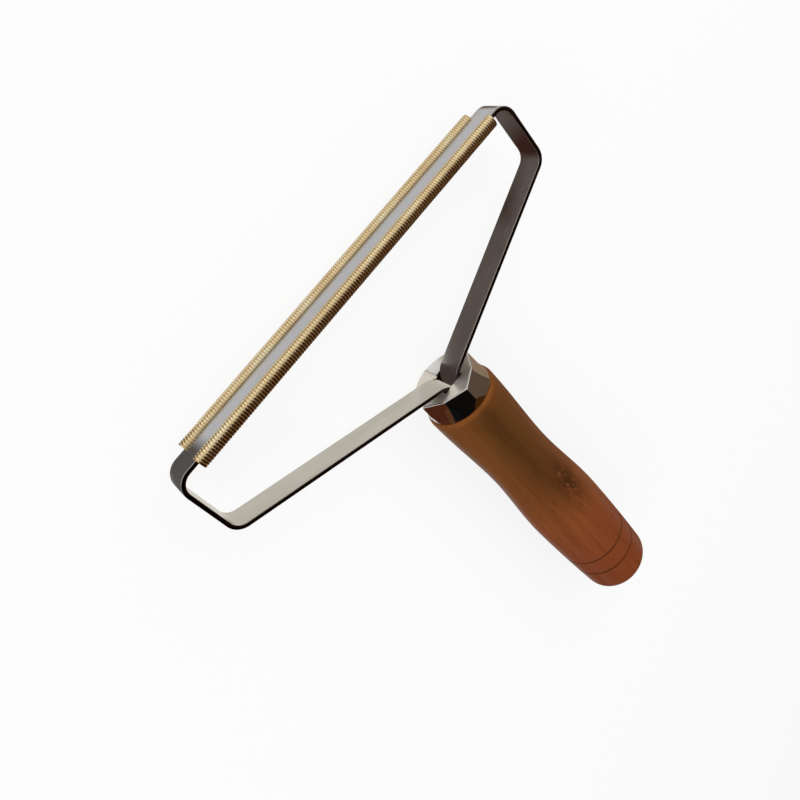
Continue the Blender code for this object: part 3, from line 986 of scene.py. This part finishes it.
def card_finish(name, colour):
    """A glow of one colour that clears towards the card's edge."""
    finish = Finish(name)
    finish.nodes.remove(finish.shader)
    clear = finish.add("ShaderNodeBsdfTransparent")
    glow = finish.add("ShaderNodeEmission", Color=(*colour, 1.0))
    finish.show_mixed(finish.attribute("cover"), clear, glow)
    return finish.material


def finish_card(card, colour, cover):
    """Make a mesh a card that only reflections see, as a studio sets one beside polished metal."""
    clear_selection()
    store(card, "cover", cover)
    card.data.materials.append(card_finish(card.name, colour))
    card.visible_camera = False
    card.visible_diffuse = False
    card.visible_transmission = False
    card.visible_shadow = False


def add_arched_card(name, span, colour):
    """A dark card arched from low behind the handle to past overhead, where it fades out."""
    centre = Vector((0.0, HEAD_FACE, MIDDLE_HEIGHT))
    card = draw_line(name, [centre + Vector((x, -ARCH_RADIUS, -ARCH_DROP)) for x in span])
    bpy.ops.mesh.spin(steps=ARCH_STEPS, angle=ARCH_TURN, center=centre, axis=(1.0, 0.0, 0.0))
    clear_selection()
    points = [vertex.co for vertex in card.data.vertices]
    heights = [math.atan2(point.z - centre.z, centre.y - point.y) for point in points]
    finish_card(card, colour, [min(1.0, (max(heights) - height) / ARCH_FADE) for height in heights])


def add_flat_card(name, corners, fade, colour):
    card = draw_line(name, corners)
    bpy.ops.mesh.edge_face_add()
    bpy.ops.mesh.inset(thickness=fade)
    cover = [float(vertex.select) for vertex in bmesh.from_edit_mesh(card.data).verts]
    finish_card(card, colour, cover)


def add_cards():
    """Coloured cards that the polished metal mirrors, lying under the scraper and standing round it."""
    for order, (name, (outline, fade, colour)) in enumerate(FLOOR_CARDS.items(), 1):
        add_flat_card(name, [(x, y, order * FLOOR_CARD_RISE) for x, y in outline], fade, colour)
    for name, (x, (near, far), (low, high), fade, colour) in WALL_CARDS.items():
        add_flat_card(name, [(x, near, low), (x, far, low), (x, far, high), (x, near, high)], fade, colour)
    left, right = tube_low.x, tube_high.x + TUBE_CARD_OVERHANG
    low, high = TUBE_CARD_HEIGHTS
    outline = [(left, low), (right, low), (right, high), (left, high)]
    corners = [(x, TUBE_CARD_Y, z) for x, z in outline]
    add_flat_card("brown_behind_near_tube", corners, TUBE_CARD_FADE, TUBE_CARD_COLOUR)
    for name, (span, colour) in ARCHES.items():
        add_arched_card(name, span, colour)


def add_lamp(name, place, side, power):
    data = bpy.data.lights.new(name, "AREA")
    data.shape = "RECTANGLE"
    data.size = side
    data.size_y = side
    data.energy = power
    lamp = bpy.data.objects.new(name, data)
    bpy.context.scene.collection.objects.link(lamp)
    lamp.location = place
    lamp.rotation_euler = (Vector(LAMP_AIM) - Vector(place)).to_track_quat("-Z", "Y").to_euler()
    lamp.visible_camera = False
    lamp.visible_glossy = False


def light_world():
    """A pale world, at full strength to the camera and in reflections, and weaker as light."""
    world = bpy.data.worlds.new("studio")
    bpy.context.scene.world = world
    world.use_nodes = True
    world.node_tree.nodes.clear()
    nodes = Nodes(world.node_tree)
    strength = nodes.span(nodes.seen(), WORLD_LIGHT, 1.0)
    background = nodes.add("ShaderNodeBackground", Color=WORLD_COLOUR, Strength=strength)
    nodes.add("ShaderNodeOutputWorld", Surface=background)


def add_camera():
    data = bpy.data.cameras.new("camera")
    data.lens = CAMERA_LENS
    data.sensor_width = CAMERA_SENSOR
    data.shift_x, data.shift_y = CAMERA_SHIFT
    data.clip_start = CAMERA_CLIP_START
    camera = bpy.data.objects.new("camera", data)
    bpy.context.scene.collection.objects.link(camera)
    camera.location = CAMERA_PLACE
    camera.rotation_mode = "QUATERNION"
    facing = (Vector(CAMERA_AIM) - Vector(CAMERA_PLACE)).to_track_quat("-Z", "Y")
    camera.rotation_quaternion = facing @ Quaternion((0.0, 0.0, 1.0), CAMERA_ROLL)
    bpy.context.scene.camera = camera


add_ground()
add_cards()
for name, (place, side, power) in LAMPS.items():
    add_lamp(name, place, side, power)
light_world()
add_camera()
bpy.context.scene.view_settings.view_transform = "Standard"
